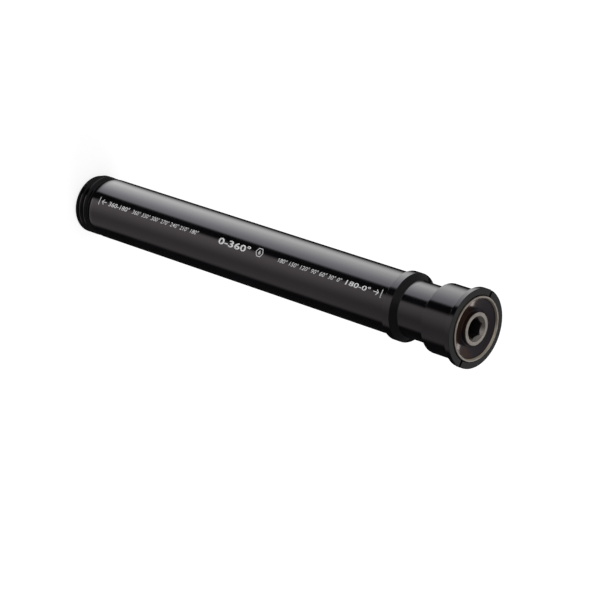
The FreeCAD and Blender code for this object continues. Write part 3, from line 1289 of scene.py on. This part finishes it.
@dataclass(frozen=True)
class Patch:
    """A soft patch of light in the sky, which the metal's gloss shows.

    Attributes:
        aim: direction of the patch's middle.
        edge: how closely a direction agrees with the aim where the patch starts and where it is
            full, 1 being exactly.
        level: brightness where it is full.
    """

    aim: tuple[float, float, float]
    edge: Span
    level: float

    def light(self, shader: Shader, direction: bpy.types.NodeSocket) -> Value:
        """Find the patch's light.

        Args:
            shader: the world that is being wired.
            direction: where a ray goes.

        Returns:
            The patch's brightness in that direction.
        """
        agreement = shader.add(
            "ShaderNodeVectorMath", {"operation": "DOT_PRODUCT"},
            {0: direction, 1: Vector(self.aim).normalized()},
        )
        return Value(shader, agreement.outputs["Value"]).ramp(*self.edge) * self.level


@dataclass(frozen=True)
class StudioCamera:
    """The camera, where the photograph was taken from.

    Attributes:
        place: its place, in millimetres.
        right: the picture's right-hand direction.
        down: the picture's downward direction.
        lens: focal length on the sensor, in millimetres.
        sensor: width of the sensor, in millimetres.
        sight: nearest and farthest distance that it sees, in metres.
    """

    place: tuple[float, float, float] = (85.48, -586.11, 598.04)
    right: tuple[float, float, float] = (-0.40007, 0.56167, 0.72420)
    down: tuple[float, float, float] = (0.91110, 0.32922, 0.24799)
    lens: float = 147.11
    sensor: float = 36.0
    sight: Span = (0.01, 50.0)

    def build(self) -> None:
        """Put the camera in its place."""
        deselect()
        bpy.ops.object.camera_add()
        camera = bpy.context.object
        right, up = Vector(self.right).normalized(), -Vector(self.down).normalized()
        back = right.cross(up)
        turn = Matrix((right, up, back)).transposed().to_4x4()
        camera.matrix_world = Matrix.Translation(Vector(self.place) * MM) @ turn
        camera.data.lens = self.lens
        camera.data.sensor_width = self.sensor
        camera.data.clip_start, camera.data.clip_end = self.sight
        bpy.context.scene.camera = camera


@dataclass(frozen=True)
class StudioFloor:
    """A pale floor, in which the gloss sees bright and dark sectors round the axle.

    Angles are in degrees round the axle and distances from its axis in metres.

    Attributes:
        brightest: the brightest that a sector can be.
        white: how much of the lamp's light the floor gives back.
        glow: its own brightness for the camera.
        turn: where the angles start, from the -X axis.
        seam: the angle at which they start over.
        grazed_radius: radius of the tube, whose bulge shifts the sectors close to it.
        grazed_from: the angle from which that bulge is seen.
    """

    size: float = 6.0
    sides: int = 96
    brightest: float = 5.0
    white: Colour = (0.3, 0.3, 0.3)
    glow: float = 0.76
    turn: float = 177.92
    seam: float = 75.0
    grazed_radius: float = 10 * MM
    grazed_from: float = 275.4
    panel_start: Span = (128.0, 176.0)
    panel_level: float = 3.65
    panel_dip: Fade = Fade(186.0, 238.0, 0.45)
    panel_end: Fade = Fade(229.0, 238.0)
    panel_near: Span = (0.011, 0.019)
    panel_far: Fade = Fade(0.16, 0.24, 0.12)
    paper_start: Span = (257.0, 270.0)
    paper_level: float = 1.12
    paper_dip: Fade = Fade(272.0, 325.0, 0.643)
    paper_end: Fade = Fade(356.0, 374.0)
    paper_far: Fade = Fade(0.13, 0.22, 0.22)
    strip_start: Span = (78.0, 84.0)
    strip_level: float = 0.7
    strip_end: Fade = Fade(108.0, 116.0)
    strip_near: Span = (0.34, 0.50)
    strip_far: Fade = Fade(1.2, 1.8)
    dark: float = 0.01
    neutral: Colour = (1.0, 1.0, 1.0)
    cool: Colour = (1.01, 1.0, 1.10)
    cool_from: Span = (170.0, 230.0)
    rosy: Colour = (1.12, 1.0, 1.04)
    rosy_from: Span = (240.0, 255.0)

    def angle(self, x: Value, y: Value, radius: Value) -> Value:
        """Find the angle round the axle at which the gloss sees a place on the floor.

        Args:
            x: the place's x.
            y: the place's y.
            radius: its distance from the axle's axis.

        Returns:
            The angle in degrees.
        """
        angle = (y * -1.0).math("ARCTAN2", x * -1.0) * math.degrees(1) + self.turn
        angle = angle + angle.math("LESS_THAN", self.seam) * 360.0
        bulge = ((self.grazed_from - angle) * math.radians(0.5)).math("SINE") * self.grazed_radius
        return angle - (bulge / radius).math("ARCSINE") * math.degrees(1)

    def picture(self, angle: Value, radius: Value) -> Value:
        """Find how bright the sectors are.

        Args:
            angle: angle round the axle.
            radius: distance from its axis.

        Returns:
            The brightness.
        """
        panel = angle.ramp(*self.panel_start) * self.panel_level
        panel = panel * self.panel_dip.left(angle) * self.panel_end.left(angle)
        panel = panel * self.panel_far.left(radius) * radius.ramp(*self.panel_near)
        paper = angle.ramp(*self.paper_start) * self.paper_level
        paper = paper * self.paper_dip.left(angle) * self.paper_end.left(angle)
        paper = paper * self.paper_far.left(radius)
        far = radius.ramp(*self.strip_near)
        strip = far * self.strip_far.left(radius) * angle.ramp(*self.strip_start)
        strip = strip * self.strip_end.left(angle) * self.strip_level
        return (panel + paper) * (1.0 - far) + strip + self.dark

    def build(self) -> None:
        """Lay the floor."""
        deselect()
        bpy.ops.mesh.primitive_circle_add(
            vertices=self.sides, radius=self.size / 2, fill_type="NGON", location=(0, 0, 0),
        )
        floor = settle(bpy.context.object, "studio_floor")
        material, shader = new_material("studio_floor")
        x, y, _, radius = shader.position()
        angle = self.angle(x, y, radius)
        rays = shader.add("ShaderNodeLightPath", {}, {})
        seen = Value(shader, rays.outputs["Is Camera Ray"])
        tint = shader.mix(angle.ramp(*self.cool_from), rgba(*self.neutral), rgba(*self.cool))
        tint = shader.mix(angle.ramp(*self.rosy_from), tint, rgba(*self.rosy))
        colour = shader.mix(self.picture(angle, radius) / self.brightest, rgba(0, 0, 0), tint)
        diffuse = shader.add("ShaderNodeBsdfDiffuse", {}, {"Color": rgba(*self.white)})
        glow = shader.add(
            "ShaderNodeEmission", {}, {"Color": rgba(*self.neutral), "Strength": seen * self.glow},
        )
        lit = shader.add("ShaderNodeAddShader", {}, {0: diffuse.outputs[0], 1: glow.outputs[0]})
        image = shader.add("ShaderNodeEmission", {}, {"Color": colour, "Strength": self.brightest})
        both = shader.add(
            "ShaderNodeMixShader", {},
            {0: rays.outputs["Is Glossy Ray"], 1: lit.outputs[0], 2: image.outputs[0]},
        )
        shader.close(both.outputs[0])
        floor.data.materials.append(material)


@dataclass(frozen=True)
class StudioSky:
    """An even white sky, in which the gloss sees soft patches of light.

    Attributes:
        level: the sky's brightness.
        dim: its brightness between the patches, for the gloss.
        band_bottom: heights of direction between which the band starts.
        band_top: heights of direction between which it ends.
    """

    level: float = 0.9
    white: Colour = (1.0, 1.0, 1.0)
    dim: float = 0.07
    card: Patch = Patch((-0.07, 0.76, 0.65), (0.80, 0.97), 0.245)
    side: Patch = Patch((-0.70, 0.22, 0.68), (0.2, 1.0), 0.16)
    front: Patch = Patch((0.0, -1.0, 0.0), (0.45, 0.60), 0.40)
    band: Patch = Patch((-0.143, 0.99, 0.0), (0.84, 0.90), 3.2)
    band_bottom: Span = (0.15, 0.19)
    band_top: Fade = Fade(0.22, 0.27)

    def build(self) -> None:
        """Wire the world."""
        world = bpy.data.worlds.new("studio_world")
        bpy.context.scene.world = world
        world.use_nodes = True
        shader = Shader(world.node_tree)
        direction = shader.coordinates("Generated")
        _, _, height = shader.split(direction)
        band = self.band.light(shader, direction)
        band = band * height.ramp(*self.band_bottom) * self.band_top.left(height)
        patches = [patch.light(shader, direction) for patch in (self.card, self.side, self.front)]
        mirrored = Value(shader, shader.add("ShaderNodeLightPath", {}, {}).outputs["Is Glossy Ray"])
        strength = mirrored * (sum(patches) + band + self.dim) + (1.0 - mirrored) * self.level
        background = shader.add(
            "ShaderNodeBackground", {}, {"Color": rgba(*self.white), "Strength": strength},
        )
        shader.close(background.outputs[0], "ShaderNodeOutputWorld")


@dataclass(frozen=True)
class StudioLamp:
    """A soft square lamp that gives the floor its shadow and stays out of the gloss.

    Attributes:
        place: its place, in metres.
        aim: the point at which it shines.
        size: its side, in metres.
        power: its power, in watts.
    """

    place: tuple[float, float, float] = (0.9, 0.9, 1.3)
    aim: tuple[float, float, float] = (0.0, 0.0, 0.08)
    size: float = 0.8
    power: float = 6.0

    def build(self) -> None:
        """Hang the lamp."""
        deselect()
        bpy.ops.object.light_add(type="AREA", location=self.place)
        lamp = bpy.context.object
        lamp.name = "key_lamp"
        lamp.data.shape = "SQUARE"
        lamp.data.size = self.size
        lamp.data.energy = self.power
        lamp.visible_glossy = False
        away = Vector(self.place) - Vector(self.aim)
        lamp.rotation_mode = "QUATERNION"
        lamp.rotation_quaternion = away.to_track_quat("Z", "Y")


@dataclass(frozen=True)
class Studio:
    """Camera, floor, sky and lamp."""

    camera: StudioCamera = StudioCamera()
    floor: StudioFloor = StudioFloor()
    sky: StudioSky = StudioSky()
    lamp: StudioLamp = StudioLamp()

    def build(self) -> None:
        """Set up the whole studio."""
        bpy.context.scene.view_settings.view_transform = "Standard"
        for fitting in (self.camera, self.floor, self.sky, self.lamp):
            fitting.build()


def main() -> None:
    """Build the studio and every piece."""
    logging.basicConfig(level=logging.INFO, format="%(message)s")
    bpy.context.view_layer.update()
    Studio().build()
    tube = AxleBody().dress()
    PrintedMarks().dress(tube)
    Wedge().dress()
    InnerPieces().dress()


if __name__ == "__main__":
    main()
